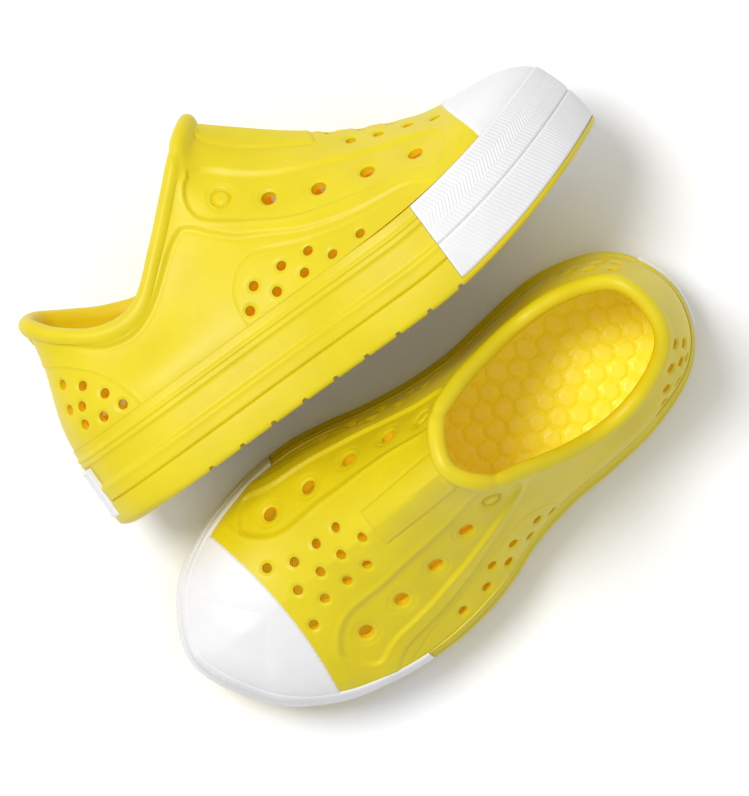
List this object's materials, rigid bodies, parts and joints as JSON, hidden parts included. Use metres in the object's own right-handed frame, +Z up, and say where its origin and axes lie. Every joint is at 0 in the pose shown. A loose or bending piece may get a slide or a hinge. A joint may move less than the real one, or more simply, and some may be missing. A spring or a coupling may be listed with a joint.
{
  "type": "rubber garden clog",
  "caption": "Child's slip-on garden clogs in moulded foam, one standing and one on its side: rolled collar, raised tongue, perforated upper, smooth toe cap, textured toe bands, ridged sole.",
  "frame": {"origin": "bottom centre of the pair's bounding box, on the surface they rest on", "axes": "+X along the clogs, from the standing left clog's heel to its toe; +Y to that clog's left, away from the lying right clog; +Z up"},
  "size_m": [0.1972, 0.1732, 0.0885],
  "materials": {
    "foam_yellow": "satin moulded foam",
    "footbed_yellow": "matte moulded foam",
    "rubber_white": "satin rubber"
  },
  "bodies": {
    "left_clog": {"left_outsole": "foam_yellow", "left_midsole": "foam_yellow", "left_footbed": "footbed_yellow", "left_upper": "foam_yellow", "left_toe_cap": "rubber_white", "left_toe_bumper": "rubber_white", "left_toe_foxing": "rubber_white", "left_heel_badge": "rubber_white"},
    "right_clog": {"right_outsole": "foam_yellow", "right_midsole": "foam_yellow", "right_footbed": "footbed_yellow", "right_upper": "foam_yellow", "right_toe_cap": "rubber_white", "right_toe_bumper": "rubber_white", "right_toe_foxing": "rubber_white", "right_heel_badge": "rubber_white"}
  },
  "joints": [
    {"name": "right_clog_lift", "type": "slide", "parent": "left_clog", "child": "right_clog", "axis": [0, 0, 1], "range_m": [0, 0.3]}
  ]
}
